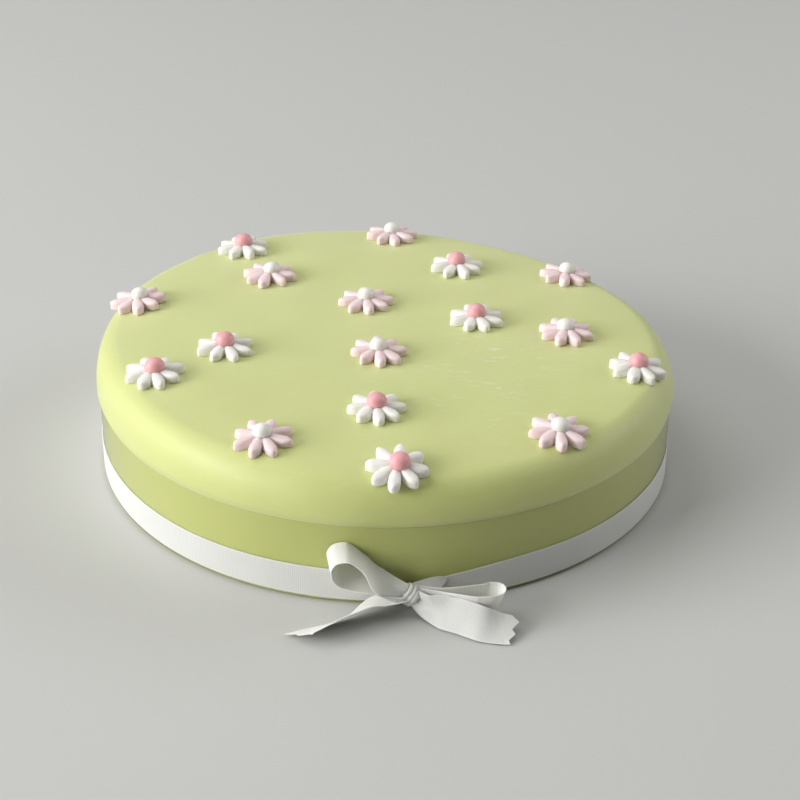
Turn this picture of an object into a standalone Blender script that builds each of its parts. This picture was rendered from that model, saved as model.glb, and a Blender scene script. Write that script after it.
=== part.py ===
"""Round sponge cake under marzipan, with a clear film collar, a tied ribbon and sugar daisies.

Frame: metres, +Z up.  The origin is the middle of the cake's underside, which rests on z = 0.
-Y is the front, where the bow is tied.  +X is to the right of someone looking at the bow.

What is modelled, each a closed solid of its own:
  cake            the whole cake in its icing, uncut, leaning and swelling a little as a hand-made one does
  film_collar     the clear collar round its side
  ribbon          one length of ribbon: the band round the foot, the knot, two loops and two tails
  daisy_NN_petals, daisy_NN_pearl    seventeen sugar daisies, each with a sugar pearl in its middle
"""

from math import atan2, cos, degrees, hypot, pi, radians, sin

import bmesh
import bpy
import numpy as np
from mathutils import Matrix, Vector

MM = 0.001

# ---------------------------------------------------------------- driving sizes
GAP = 0.3 * MM  # left between pieces that touch
SKIN = 0.4 * MM  # thickness of film and ribbon
ROUND_STEPS = 64  # facets round the cake

BAND_RADIUS = 144.0 * MM  # over the ribbon, at the foot of the cake
BAND_FOOT = 2.5 * MM
RIBBON_WIDTH = 15.0 * MM

FILM_FOOT = 0.6 * MM
FILM_WIDTH = 39.8 * MM

CAKE_HEIGHT = 65.3 * MM  # at the middle of the top
SHOULDER_DROP = 2.5 * MM  # how far the domed top has come down where the edge starts to round
SHOULDER_POWER = 6
EDGE_ACROSS = 10.3 * MM  # the rounded top edge, measured inwards and down
EDGE_DOWN = 11.7 * MM
EDGE_STEPS = 5
ICING_FOOT = 3.0 * MM  # how far over the collar the icing has reached its full swell
FOOT_CHAMFER = 0.8 * MM
TOP_SHARES = (0.0, 0.3, 0.55, 0.75, 0.88, 0.95, 1.0)  # rings of the top, as shares of its radius

# Departures from a true round: (waves in one turn, height of the wave, angle of its crest in degrees)
PLAN_WAVES = ((1, 1.9 * MM, 181), (2, 2.3 * MM, -43), (3, 1.1 * MM, 8))
TOP_WAVES = ((1, 3.0 * MM, 170), (2, 1.0 * MM, -6), (3, 0.7 * MM, -17))

# ---------------------------------------------------------------- sizes that follow
BAND_INNER = BAND_RADIUS - SKIN
FILM_OUTER = BAND_INNER - GAP
FILM_INNER = FILM_OUTER - SKIN
CAKE_RADIUS = FILM_INNER - GAP
ICING_RADIUS = FILM_OUTER + GAP  # above the collar the icing swells out to its face
FILM_TOP = FILM_FOOT + FILM_WIDTH
SHOULDER_RADIUS = ICING_RADIUS - EDGE_ACROSS
WALL_TOP = CAKE_HEIGHT - SHOULDER_DROP - EDGE_DOWN

# ---------------------------------------------------------------- the daisies
PETALS = 8
HUB_REACH = 4.4 * MM  # from the middle to a petal's root
HUB_HEIGHT = 2.3 * MM
ROOT_RIDGE = 3.6 * MM  # height of the ridge along a petal, at its root
# One petal beyond its root: (distance from the middle, half width, side height, ridge height)
PETAL_SECTIONS = (
    (6.6 * MM, 2.4 * MM, 3.0 * MM, 4.5 * MM),
    (11.4 * MM, 2.65 * MM, 2.9 * MM, 4.3 * MM),
    (14.1 * MM, 0.9 * MM, 1.7 * MM, 2.5 * MM),
)
PETAL_SHOULDER = 0.86  # half width of a petal where its sides meet its top, against that at its foot
SEAT_RIM = 3.4 * MM  # the hollow for the pearl
SEAT_RADIUS = 1.9 * MM
SEAT_HEIGHT = 1.05 * MM
PEARL_FOOT = 1.4 * MM  # how high a pearl's lowest point sits over the daisy's underside
PEARL_FLATTEN = 0.86  # the pearls are pressed a little flat
PEARL_RADII = {"pink_pearl": 5.0 * MM, "white_pearl": 4.5 * MM}
SLOPE_STEP = 8.0 * MM  # how far from its middle a daisy feels the slope of the icing
PEARL_ON = {"white": "pink_pearl", "pink": "white_pearl"}  # the pearl that each colour of petals carries

# Where each daisy lies: (x mm, y mm, petals' colour, turn in degrees)
DAISIES = (
    (-79.7, 97.8, "white", 22.5),
    (-62.7, 60.8, "pink", -9.0),
    (1.4, 122.2, "pink", 11.0),
    (37.1, 79.7, "white", 17.5),
    (95.0, 74.8, "pink", -6.0),
    (-127.7, 27.1, "pink", 9.0),
    (-78.4, -25.7, "white", 24.5),
    (-109.9, -53.3, "white", 22.5),
    (-11.0, 31.5, "pink", 8.0),
    (-3.7, -25.7, "pink", 5.0),
    (45.2, 14.5, "white", 21.0),
    (89.9, 1.3, "pink", 25.0),
    (121.2, -34.9, "white", -14.5),
    (-3.7, -82.3, "white", 7.0),
    (-54.1, -110.3, "pink", 28.0),
    (6.3, -130.6, "white", -5.0),
    (78.9, -97.3, "pink", 7.0),
)

# ---------------------------------------------------------------- the bow
# A length of ribbon is laid through stations: (middle point mm, direction across it, width mm).
# Its width is less than the full 15 mm only where it is gathered into the knot.
FULL = RIBBON_WIDTH / MM
KNOT_MIDDLE = Vector((12.3, -149.5, 9.9)) * MM
KNOT_TILT = radians(34)  # the folds of the knot run down to the left
KNOT_HALF_LENGTH = 3.6 * MM
KNOT_RADIUS = 5.8 * MM
KNOT_FOLDS = 3
FOLD_RINGS = 4  # rings of points to each fold
FOLD_DEPTH = 0.7 * MM
KNOT_FULLNESS = 0.6  # below 1 the barrel stays thick towards its ends
KNOT_STEPS = 16
KNOT_FLATTEN = 0.82  # front to back

LEFT_LOOP = (
    ((10.5, -149.5, 11.0), (-0.5, -1.0, -0.2), 8),
    ((1.8, -150.6, 14.6), (-0.6, -1.0, -0.2), 12.5),
    ((-2.6, -151.2, 19.0), (-0.18, -1.0, -0.17), FULL),
    ((-8.0, -151.2, 26.6), (-0.03, -1.0, 0.04), FULL),
    ((-16.2, -150.8, 32.0), (0.1, -1.0, -0.05), FULL),
    ((-21.3, -150.6, 30.2), (0.19, -1.0, 0.0), FULL),
    ((-23.2, -150.7, 26.9), (0.17, -1.0, 0.03), FULL),
    ((-22.6, -150.7, 23.4), (0.15, -1.0, -0.05), FULL),
    ((-19.6, -150.7, 20.4), (0.15, -1.0, -0.18), FULL),
    ((-14.6, -150.5, 18.7), (0.17, -1.0, -0.24), FULL),
    ((-4.2, -151.0, 16.2), (0.0, -1.0, -0.15), 14),
    ((3.5, -150.4, 12.8), (0.0, -1.0, -0.1), 11),
    ((10.5, -149.5, 10.2), (0.0, -1.0, 0.0), 8),
)

RIGHT_LOOP = (
    ((13.5, -149.3, 9.9), (0.0, -0.2, -1.0), 8),
    ((25.2, -149.9, 7.6), (0.0, 0.1, -1.0), 12.5),
    ((34.1, -149.9, 7.8), (0.0, 0.15, -1.0), 14.2),
    ((42.0, -149.2, 7.9), (-0.1, 0.08, -1.0), 14.6),
    ((48.0, -148.8, 8.2), (-0.25, 0.03, -1.0), FULL),
    ((51.2, -150.8, 8.4), (-0.36, 0.0, -1.0), FULL),
    ((51.4, -154.6, 8.4), (-0.38, 0.0, -1.0), FULL),
    ((48.2, -157.8, 8.2), (-0.32, 0.04, -1.0), FULL),
    ((42.0, -158.8, 7.9), (-0.15, 0.08, -1.0), 14.6),
    ((34.1, -156.4, 7.8), (0.0, 0.08, -1.0), 14.2),
    ((25.2, -152.8, 7.6), (0.0, 0.05, -1.0), 12.5),
    ((13.5, -149.8, 9.6), (0.0, -0.1, -1.0), 8),
)

RIGHT_TAIL = (
    ((13.5, -150.5, 9.4), (-0.1, -0.2, -1.0), 8),
    ((19.9, -155.5, 7.2), (-0.2, -0.28, -1.0), 11),
    ((27.3, -158.8, 6.9), (-0.36, -0.63, -1.0), FULL),
    ((36.1, -163.0, 6.8), (-0.4, -0.66, -1.0), FULL),
    ((44.3, -166.5, 5.9), (-0.38, -1.0, -1.0), FULL),
    ((51.1, -166.8, 4.2), (-0.43, -1.95, -1.0), FULL),
    ((57.6, -167.1, 3.4), (-0.15, -2.75, -1.0), FULL),
)

LEFT_TAIL = (
    ((10.5, -150.2, 8.6), (0.0, -1.0, 0.1), 8),
    ((4.5, -151.4, 8.3), (0.0, -1.0, 0.2), 12),
    ((-1.4, -152.6, 8.0), (0.1, -1.0, 0.27), FULL),
    ((-12.5, -159.8, 6.2), (0.16, -1.0, 0.56), FULL),
    ((-22.0, -165.2, 5.0), (0.13, -1.0, 0.61), FULL),
    ((-29.0, -169.0, 4.5), (0.59, -1.0, 0.65), FULL),
    ((-35.4, -172.6, 4.3), (1.06, -1.0, 0.65), FULL),
)

LEFT_GATHER = (
    ((-3.0, -143.79, 8.6), (0.0, 0.0, -1.0), 12.0),
    ((4.5, -146.3, 9.4), (0.0, -0.1, -1.0), 10.5),
    ((11.0, -149.0, 10.2), (0.0, -0.1, -1.0), 8.5),
)

RIGHT_GATHER = (
    ((28.2, -141.2, 8.1), (0.0, 0.0, -1.0), 10.6),
    ((21.5, -145.3, 9.0), (0.0, -0.45, -1.0), 10),
    ((15.0, -148.6, 10.2), (0.0, -0.8, -0.8), 8),
)

# The knot draws the band's upper edge down: (angle round the cake in degrees, how far in mm)
BAND_PINCH = ((-95.6, 0), (-90.0, 3.5), (-84.4, 8.5), (-78.8, 4.1), (-73.1, 2.0), (-67.5, 0.6), (-61.9, 0))

# The tails are cut aslant with pinking shears: (share of the width, how far the cut stands out in mm)
SQUARE_CUT = ((0.0, 0), (0.5, 0), (1.0, 0))
RIGHT_CUT = ((0.0, -1.0), (0.19, 2.0), (0.48, -0.9), (0.63, 0.7), (0.88, -2.0), (1.0, -1.3))
LEFT_CUT = ((0.0, 3.7), (0.28, 0.3), (0.5, 0.6), (0.8, -3.1), (1.0, -2.8))
TAIL_ARCH = -1.0 * MM  # the left tail is hollow along its middle
ARCH_ROWS = 4  # rows of the tail over which that hollow grows from the knot

# ---------------------------------------------------------------- colours (linear) and finishes
FINISHES = {
    "marzipan": ((0.56, 0.60, 0.26), 0.50),
    "clear_film": ((0.52, 0.58, 0.26), 0.12),
    "ribbon_cloth": ((0.76, 0.76, 0.72), 0.70),
    "white_sugar": ((0.86, 0.86, 0.82), 0.55),
    "pink_sugar": ((0.85, 0.68, 0.70), 0.55),
    "white_pearl": ((0.84, 0.82, 0.79), 0.45),
    "pink_pearl": ((0.84, 0.34, 0.42), 0.45),
}


# ---------------------------------------------------------------- scene and materials
def clear_scene():
    """Remove the objects that a new scene comes with."""
    for thing in list(bpy.data.objects):
        bpy.data.objects.remove(thing, do_unlink=True)


def new_collection(name):
    """A collection linked to the scene."""
    collection = bpy.data.collections.new(name)
    bpy.context.scene.collection.children.link(collection)
    return collection


def finish_named(name):
    """The Principled material for one of the finishes."""
    material = bpy.data.materials.get(name)
    if material is None:
        colour, roughness = FINISHES[name]
        material = bpy.data.materials.new(name)
        material.use_nodes = True
        shader = material.node_tree.nodes["Principled BSDF"]
        shader.inputs["Base Color"].default_value = (*colour, 1.0)
        shader.inputs["Roughness"].default_value = roughness
        shader.inputs["Metallic"].default_value = 0.0
        material.diffuse_color = (*colour, 1.0)
    return material


def new_object(name, mesh, collection):
    """An object for a mesh, in a collection."""
    thing = bpy.data.objects.new(name, mesh)
    collection.objects.link(thing)
    return thing


def evaluated_mesh(thing):
    """The mesh of an object with its modifiers applied."""
    bpy.context.view_layer.update()
    graph = bpy.context.evaluated_depsgraph_get()
    return bpy.data.meshes.new_from_object(thing.evaluated_get(graph))


def dress(mesh, finish, smooth_angle=None):
    """Give a mesh its one material, shaded smooth up to an angle."""
    mesh.materials.clear()
    mesh.materials.append(finish_named(finish))
    if smooth_angle is not None:
        mesh.shade_smooth()
        mesh.set_sharp_from_angle(angle=radians(smooth_angle))


def outward(mesh):
    """Turn all faces of a closed mesh outwards."""
    work = bmesh.new()
    work.from_mesh(mesh)
    bmesh.ops.recalc_face_normals(work, faces=work.faces)
    work.to_mesh(mesh)
    work.free()


# ---------------------------------------------------------------- the form of the cake
def swell(waves, angle, reach):
    """Sum of the waves at an angle, fading smoothly to nothing at the middle (reach 0)."""
    return sum(
        height * reach**count * cos(count * (angle - radians(crest)))
        for count, height, crest in waves
    )


def top_height(x, y):
    """Height of the icing over a point of the table, for the domed, leaning top and its round edge."""
    angle = atan2(y, x)
    radius = hypot(x, y) / (1 + swell(PLAN_WAVES, angle, 1.0) / ICING_RADIUS)
    height = CAKE_HEIGHT + swell(TOP_WAVES, angle, radius / ICING_RADIUS)
    height -= SHOULDER_DROP * (radius / SHOULDER_RADIUS) ** SHOULDER_POWER
    if radius > SHOULDER_RADIUS:
        part = min((radius - SHOULDER_RADIUS) / EDGE_ACROSS, 1.0)
        height -= EDGE_DOWN * (1 - (1 - part**2) ** 0.5)
    return height


def turned(name, profile, closed):
    """A profile of (radius, height) points turned about +Z by a Screw modifier."""
    mesh = bpy.data.meshes.new(name)
    edges = [(i, i + 1) for i in range(len(profile) - 1)]
    if closed:
        edges.append((len(profile) - 1, 0))
    mesh.from_pydata([(radius, 0.0, height) for radius, height in profile], edges, [])
    thing = bpy.data.objects.new(name, mesh)
    bpy.context.scene.collection.objects.link(thing)
    screw = thing.modifiers.new("turn", "SCREW")
    screw.axis = "Z"
    screw.angle = 2 * pi
    screw.steps = ROUND_STEPS
    screw.render_steps = ROUND_STEPS
    screw.use_merge_vertices = True
    screw.merge_threshold = 0.01 * MM
    solid = evaluated_mesh(thing)
    solid.name = name
    bpy.data.objects.remove(thing, do_unlink=True)
    outward(solid)
    return solid


def cake_profile():
    """Outline of the cake from the middle of its top, over the edge and down to its underside."""
    points = [
        (SHOULDER_RADIUS * share, CAKE_HEIGHT - SHOULDER_DROP * share**SHOULDER_POWER)
        for share in TOP_SHARES
    ]
    for step in range(1, EDGE_STEPS + 1):
        turn = step / EDGE_STEPS * pi / 2
        r = SHOULDER_RADIUS + EDGE_ACROSS * sin(turn)
        drop = SHOULDER_DROP * (r / SHOULDER_RADIUS) ** SHOULDER_POWER + EDGE_DOWN * (1 - cos(turn))
        points.append((r, CAKE_HEIGHT - drop))
    points.append((ICING_RADIUS, FILM_TOP + ICING_FOOT))
    points.append((CAKE_RADIUS, FILM_TOP + GAP))
    points.append((CAKE_RADIUS, FOOT_CHAMFER))
    points.append((CAKE_RADIUS - FOOT_CHAMFER, 0.0))
    points.append((0.0, 0.0))
    return points


def make_uneven(mesh):
    """Move a turned mesh's points from the true round to the cake's own form."""
    for vertex in mesh.vertices:
        x, y, z = vertex.co
        angle = atan2(y, x)
        reach = hypot(x, y) / ICING_RADIUS
        grow = 1 + swell(PLAN_WAVES, angle, 1.0) / ICING_RADIUS
        lift = min(max((z - FILM_TOP - GAP) / (WALL_TOP - FILM_TOP - GAP), 0.0), 1.0)
        vertex.co = (x * grow, y * grow, z + lift * swell(TOP_WAVES, angle, reach))


def hoop(name, inner, outer, foot, width):
    """A thin upright band round the cake."""
    mesh = turned(name, [(outer, foot + width), (outer, foot), (inner, foot), (inner, foot + width)], True)
    make_uneven(mesh)
    return mesh


def pinch_band(mesh):
    """Draw the band's upper edge down towards the knot."""
    angles = [angle for angle, _ in BAND_PINCH]
    drops = [drop * MM for _, drop in BAND_PINCH]
    for vertex in mesh.vertices:
        if vertex.co.z > BAND_FOOT + RIBBON_WIDTH / 2:
            vertex.co.z -= np.interp(degrees(atan2(vertex.co.y, vertex.co.x)), angles, drops)


# ---------------------------------------------------------------- lengths of ribbon
def smooth_through(values, knots, places):
    """Cubic curve through values at knots, read at places; its slopes follow the neighbours."""
    slopes = np.gradient(values, knots, axis=0)
    index = np.clip(np.searchsorted(knots, places, side="right") - 1, 0, len(knots) - 2)
    span = knots[index + 1] - knots[index]
    t = ((places - knots[index]) / span)[:, None]
    span = span[:, None]
    start, end = values[index], values[index + 1]
    leave, arrive = slopes[index] * span, slopes[index + 1] * span
    return (
        start * (2 * t**3 - 3 * t**2 + 1)
        + leave * (t**3 - 2 * t**2 + t)
        + end * (3 * t**2 - 2 * t**3)
        + arrive * (t**3 - t**2)
    )


def unit(rows):
    """Rows of vectors at length one."""
    return rows / np.linalg.norm(rows, axis=1, keepdims=True)


def ribbon_path(stations, pieces):
    """Even samples of a ribbon: middle points, directions across, directions along, and widths."""
    middle = np.array([station[0] for station in stations]) * MM
    across = unit(np.array([station[1] for station in stations]))
    width = np.array([[station[2]] for station in stations]) * MM
    run = np.linalg.norm(np.diff(middle, axis=0), axis=1)
    knots = np.concatenate(([0.0], np.cumsum(run)))
    places = np.linspace(0.0, knots[-1], pieces + 1)
    middle = smooth_through(middle, knots, places)
    along = unit(np.gradient(middle, places, axis=0))
    across = smooth_through(across, knots, places)
    across = unit(across - (across * along).sum(axis=1, keepdims=True) * along)
    return middle, across, along, np.minimum(smooth_through(width, knots, places), RIBBON_WIDTH)


def ribbon_length(name, stations, pieces, cut=SQUARE_CUT, arch=0.0):
    """A length of ribbon: a grid laid through the stations, thickened by Solidify."""
    middle, across, along, width = ribbon_path(stations, pieces)
    face = np.cross(along, across)
    shares = [share for share, _ in cut]
    work = bmesh.new()
    bmesh.ops.create_grid(work, x_segments=len(shares) - 1, y_segments=pieces, size=0.5)
    for vertex in work.verts:
        column = round((vertex.co.x + 0.5) * (len(shares) - 1))
        row = round((vertex.co.y + 0.5) * pieces)
        side = shares[column] - 0.5
        rise = arch * (1 - (2 * side) ** 2) * min(row / ARCH_ROWS, 1.0)
        place = middle[row] + across[row] * width[row] * side + face[row] * rise
        if row == pieces:
            place = place + along[row] * cut[column][1] * MM
        vertex.co = place
    mesh = bpy.data.meshes.new(name)
    work.to_mesh(mesh)
    work.free()
    thing = bpy.data.objects.new(name, mesh)
    bpy.context.scene.collection.objects.link(thing)
    shell = thing.modifiers.new("cloth", "SOLIDIFY")
    shell.thickness = SKIN
    shell.offset = 0.0
    shell.use_even_offset = True
    solid = evaluated_mesh(thing)
    solid.name = name
    bpy.data.objects.remove(thing, do_unlink=True)
    outward(solid)
    return solid


def knot_mesh():
    """The knot: a short turned barrel with folds round it, laid on its side and tilted."""
    points = []
    rings = FOLD_RINGS * KNOT_FOLDS
    for ring in range(rings + 1):
        turn = ring / rings * pi
        fold = FOLD_DEPTH * (1 - abs(cos(KNOT_FOLDS * turn + pi / 2 * (KNOT_FOLDS % 2))))
        bulge = max(sin(turn), 0.0)
        radius = KNOT_RADIUS * bulge**KNOT_FULLNESS - fold * bulge
        points.append((radius, KNOT_HALF_LENGTH * cos(turn)))
    points[0] = (0.0, KNOT_HALF_LENGTH)
    points[-1] = (0.0, -KNOT_HALF_LENGTH)
    mesh = bpy.data.meshes.new("knot")
    mesh.from_pydata([(r, 0.0, z) for r, z in points], [(i, i + 1) for i in range(rings)], [])
    thing = bpy.data.objects.new("knot", mesh)
    bpy.context.scene.collection.objects.link(thing)
    screw = thing.modifiers.new("turn", "SCREW")
    screw.steps = KNOT_STEPS
    screw.render_steps = KNOT_STEPS
    screw.use_merge_vertices = True
    screw.merge_threshold = 0.01 * MM
    solid = evaluated_mesh(thing)
    bpy.data.objects.remove(thing, do_unlink=True)
    flatten = Matrix.Diagonal((1.0, KNOT_FLATTEN, 1.0, 1.0))
    lay = Matrix.Rotation(pi / 2 + KNOT_TILT, 4, "Y")
    solid.transform(Matrix.Translation(KNOT_MIDDLE) @ flatten @ lay)
    outward(solid)
    return solid


def joined(name, first, others):
    """One solid from overlapping ones, by a Boolean union on a collection that is then removed."""
    members = bpy.data.collections.new(name + "_members")
    bpy.context.scene.collection.children.link(members)
    for number, mesh in enumerate(others):
        member = bpy.data.objects.new(f"{name}_member_{number}", mesh)
        member.hide_render = True
        member.display_type = "WIRE"
        members.objects.link(member)
    thing = bpy.data.objects.new(name, first)
    bpy.context.scene.collection.objects.link(thing)
    union = thing.modifiers.new("join", "BOOLEAN")
    union.operation = "UNION"
    union.operand_type = "COLLECTION"
    union.collection = members
    union.solver = "EXACT"
    solid = evaluated_mesh(thing)
    solid.name = name
    bpy.data.objects.remove(thing, do_unlink=True)
    for member in list(members.objects):
        bpy.data.objects.remove(member, do_unlink=True)
    bpy.data.collections.remove(members)
    return solid


# ---------------------------------------------------------------- daisies
def draw_petal(work, root):
    """Draw one petal out of a side face of the hub, section by section."""
    outwards = Vector((root.normal.x, root.normal.y, 0.0)).normalized()
    sideways = Vector((-outwards.y, outwards.x, 0.0))
    end = root
    for distance, half, side, ridge in PETAL_SECTIONS:
        end = bmesh.ops.extrude_discrete_faces(work, faces=[end])["faces"][0]
        for vertex in end.verts:
            across = vertex.co.dot(sideways)
            if vertex.co.z < GAP:
                vertex.co = outwards * distance + sideways * half * (1 if across > 0 else -1)
            elif abs(across) < GAP:
                vertex.co = outwards * distance + Vector((0.0, 0.0, ridge))
            else:
                edge = half * PETAL_SHOULDER * (1 if across > 0 else -1)
                vertex.co = outwards * distance + sideways * edge + Vector((0.0, 0.0, side))


def petals_mesh(name, finish):
    """The petals of a daisy: drawn out of the sides of a hub that is hollowed for the pearl."""
    work = bmesh.new()
    corner = HUB_REACH / cos(pi / PETALS)
    bmesh.ops.create_cone(
        work, cap_ends=True, segments=PETALS, radius1=corner, radius2=corner, depth=HUB_HEIGHT
    )
    bmesh.ops.translate(work, verts=work.verts, vec=(0.0, 0.0, HUB_HEIGHT / 2))
    work.normal_update()
    side = next(face for face in work.faces if abs(face.normal.z) < 0.5)
    level = Matrix.Rotation(-atan2(side.normal.y, side.normal.x), 3, "Z")
    bmesh.ops.rotate(work, verts=work.verts, matrix=level)

    top = next(face for face in work.faces if face.normal.z > 0.5)
    rim = list(top.edges)
    bmesh.ops.inset_region(work, faces=[top], thickness=HUB_REACH - SEAT_RIM * cos(pi / PETALS))
    seat = bmesh.ops.extrude_discrete_faces(work, faces=[top])["faces"][0]
    for vertex in seat.verts:
        flat = Vector((vertex.co.x, vertex.co.y, 0.0)).normalized()
        vertex.co = flat * SEAT_RADIUS + Vector((0.0, 0.0, SEAT_HEIGHT))
    split = bmesh.ops.subdivide_edges(work, edges=rim, cuts=1)["geom_inner"]
    for middle in [item for item in split if isinstance(item, bmesh.types.BMVert)]:
        middle.co.z = ROOT_RIDGE
        collar = next(face for face in middle.link_faces if face.normal.z > 0.5)
        for vertex in [item for item in collar.verts if item.co.to_2d().length < SEAT_RIM + GAP]:
            face = next(face for face in middle.link_faces if vertex in face.verts)
            bmesh.utils.face_split(face, middle, vertex)
    work.normal_update()
    for root in [face for face in work.faces if abs(face.normal.z) < 0.1 and len(face.verts) == 5]:
        draw_petal(work, root)
    mesh = bpy.data.meshes.new(name)
    work.to_mesh(mesh)
    work.free()
    outward(mesh)
    dress(mesh, finish, 40)
    return mesh


def pearl_mesh(name):
    """A pearl over the middle of its daisy."""
    radius = PEARL_RADII[name]
    work = bmesh.new()
    bmesh.ops.create_uvsphere(work, u_segments=10, v_segments=6, radius=radius)
    bmesh.ops.scale(work, verts=work.verts, vec=(1.0, 1.0, PEARL_FLATTEN))
    bmesh.ops.translate(work, verts=work.verts, vec=(0.0, 0.0, PEARL_FOOT + radius * PEARL_FLATTEN))
    mesh = bpy.data.meshes.new(name)
    work.to_mesh(mesh)
    work.free()
    dress(mesh, name, 60)
    return mesh


def daisy_place(x, y, turn):
    """Where a daisy rests: leaning as the icing under it does, just clear of it all over."""
    step = SLOPE_STEP
    slope_x = (top_height(x + step, y) - top_height(x - step, y)) / (2 * step)
    slope_y = (top_height(x, y + step) - top_height(x, y - step)) / (2 * step)
    upright = Vector((-slope_x, -slope_y, 1.0)).normalized()
    lean = Vector((0, 0, 1)).rotation_difference(upright)
    reach = PETAL_SECTIONS[-1][0]
    rise = 0.0
    for ring in (0.35, 0.7, 1.0):
        for spoke in range(16):
            angle = 2 * pi * spoke / 16
            dx, dy = ring * reach * cos(angle), ring * reach * sin(angle)
            level = top_height(x, y) + slope_x * dx + slope_y * dy
            rise = max(rise, top_height(x + dx, y + dy) - level)
    place = Vector((x, y, top_height(x, y) + rise)) + upright * GAP
    return Matrix.Translation(place) @ lean.to_matrix().to_4x4() @ Matrix.Rotation(radians(turn), 4, "Z")


# ---------------------------------------------------------------- the whole
def build():
    """Make every solid of the cake."""
    clear_scene()
    parts = new_collection("decorated_cake")

    cake = turned("cake", cake_profile(), False)
    make_uneven(cake)
    dress(cake, "marzipan", 50)
    new_object("cake", cake, parts)

    collar = hoop("film_collar", FILM_INNER, FILM_OUTER, FILM_FOOT, FILM_WIDTH)
    dress(collar, "clear_film", 40)
    new_object("film_collar", collar, parts)

    band = hoop("band", BAND_INNER, BAND_RADIUS, BAND_FOOT, RIBBON_WIDTH)
    pinch_band(band)
    lengths = [
        ribbon_length("left_loop", LEFT_LOOP, 32),
        ribbon_length("right_loop", RIGHT_LOOP, 32),
        ribbon_length("left_tail", LEFT_TAIL, 14, LEFT_CUT, TAIL_ARCH),
        ribbon_length("right_tail", RIGHT_TAIL, 14, RIGHT_CUT),
        ribbon_length("left_gather", LEFT_GATHER, 6),
        ribbon_length("right_gather", RIGHT_GATHER, 6),
        knot_mesh(),
    ]
    ribbon = joined("ribbon", band, lengths)
    dress(ribbon, "ribbon_cloth", 40)
    new_object("ribbon", ribbon, parts)

    petals = {colour: petals_mesh(f"{colour}_petals", f"{colour}_sugar") for colour in PEARL_ON}
    pearls = {colour: pearl_mesh(pearl) for colour, pearl in PEARL_ON.items()}
    for number, (x, y, colour, turn) in enumerate(DAISIES, start=1):
        place = daisy_place(x * MM, y * MM, turn)
        flower = new_object(f"daisy_{number:02d}_petals", petals[colour], parts)
        flower.matrix_world = place
        pearl = new_object(f"daisy_{number:02d}_pearl", pearls[colour], parts)
        pearl.matrix_world = place


build()
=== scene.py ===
"""A round sponge cake under pale green marzipan, with a film collar, a tied ribbon and sugar daisies.

Frame: metres, +Z up.  The cake stands on z = 0 with its middle over the origin.  -Y is the front,
where the bow is tied, and +X is to the right of someone looking at the bow.
"""

from __future__ import annotations

import logging
from dataclasses import dataclass, field
from enum import Enum
from functools import partial
from math import cos, hypot, pi, radians, sin
from typing import Any, Callable

import bmesh
import bpy
import numpy as np
from bpy.types import ID, Material, Mesh, NodeSocket, NodeTree, Object
from mathutils import Matrix, Vector
from numpy import ndarray

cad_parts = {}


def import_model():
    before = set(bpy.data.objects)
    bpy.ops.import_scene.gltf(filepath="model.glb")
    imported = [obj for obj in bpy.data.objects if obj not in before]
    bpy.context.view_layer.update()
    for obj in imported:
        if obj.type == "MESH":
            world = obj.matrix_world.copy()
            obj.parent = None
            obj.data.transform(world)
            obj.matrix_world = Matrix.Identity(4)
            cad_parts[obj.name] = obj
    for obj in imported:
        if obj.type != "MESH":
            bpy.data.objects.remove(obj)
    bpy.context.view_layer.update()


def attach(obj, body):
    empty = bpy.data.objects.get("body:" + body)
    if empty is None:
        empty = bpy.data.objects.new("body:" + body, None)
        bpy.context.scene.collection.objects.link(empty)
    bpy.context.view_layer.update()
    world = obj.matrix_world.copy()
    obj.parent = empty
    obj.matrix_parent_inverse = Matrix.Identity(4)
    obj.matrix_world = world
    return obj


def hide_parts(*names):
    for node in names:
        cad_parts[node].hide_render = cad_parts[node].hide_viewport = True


LOG = logging.getLogger("cake")
MM = 0.001
BODY = "root"
Pair = tuple[float, float]
Triple = tuple[float, float, float]


# ---- small tools
def linear(code: str) -> tuple[float, float, float, float]:
    """Turn an sRGB hex colour into linear red, green, blue and alpha.

    Args:
        code: Six hex digits, such as "C9CE8F".

    Returns:
        The linear colour, opaque.
    """
    parts = [int(code[i : i + 2], 16) / 255 for i in (0, 2, 4)]
    red, green, blue = (p / 12.92 if p <= 0.04045 else ((p + 0.055) / 1.055) ** 2.4 for p in parts)
    return red, green, blue, 1.0


def add_node(
    tree: NodeTree, kind: str, inputs: dict | None = None, output: int | str = 0, **settings: Any
) -> NodeSocket | None:
    """Add a shader node, with its settings and with values or links on its inputs.

    Args:
        tree: The node tree it goes into.
        kind: Blender's name for the node type, without "ShaderNode".
        inputs: A value or another node's output for each input, by name or number.
        output: Which of its outputs is wanted, by name or number.
        **settings: Properties of the node itself.

    Returns:
        That output, or nothing from a node that has none.
    """
    node = tree.nodes.new("ShaderNode" + kind)
    for name, value in settings.items():
        setattr(node, name, value)
    for socket, value in (inputs or {}).items():
        if isinstance(value, NodeSocket):
            tree.links.new(value, node.inputs[socket])
        else:
            node.inputs[socket].default_value = value
    return node.outputs[output] if node.outputs else None


def emptied(made: Material | bpy.types.World) -> Callable:
    """Give a material or world an empty node tree.

    Args:
        made: The material or world.

    Returns:
        The function add_node, bound to that tree.
    """
    made.use_nodes = True
    made.node_tree.nodes.clear()
    return partial(add_node, made.node_tree)


def unit(rows: ndarray) -> ndarray:
    """Scale each row of vectors to length one."""
    return rows / np.maximum(np.linalg.norm(rows, axis=-1, keepdims=True), 1e-12)


def ease(low: float, high: float, value: ndarray) -> ndarray:
    """Rise smoothly from 0 at low to 1 at high."""
    t = np.clip((np.asarray(value, dtype=float) - low) / (high - low), 0.0, 1.0)
    return t * t * (3 - 2 * t)


def full_turn(count: int) -> ndarray:
    """Spread angles evenly once round, in radians."""
    return np.arange(count) * 2 * pi / count


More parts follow.
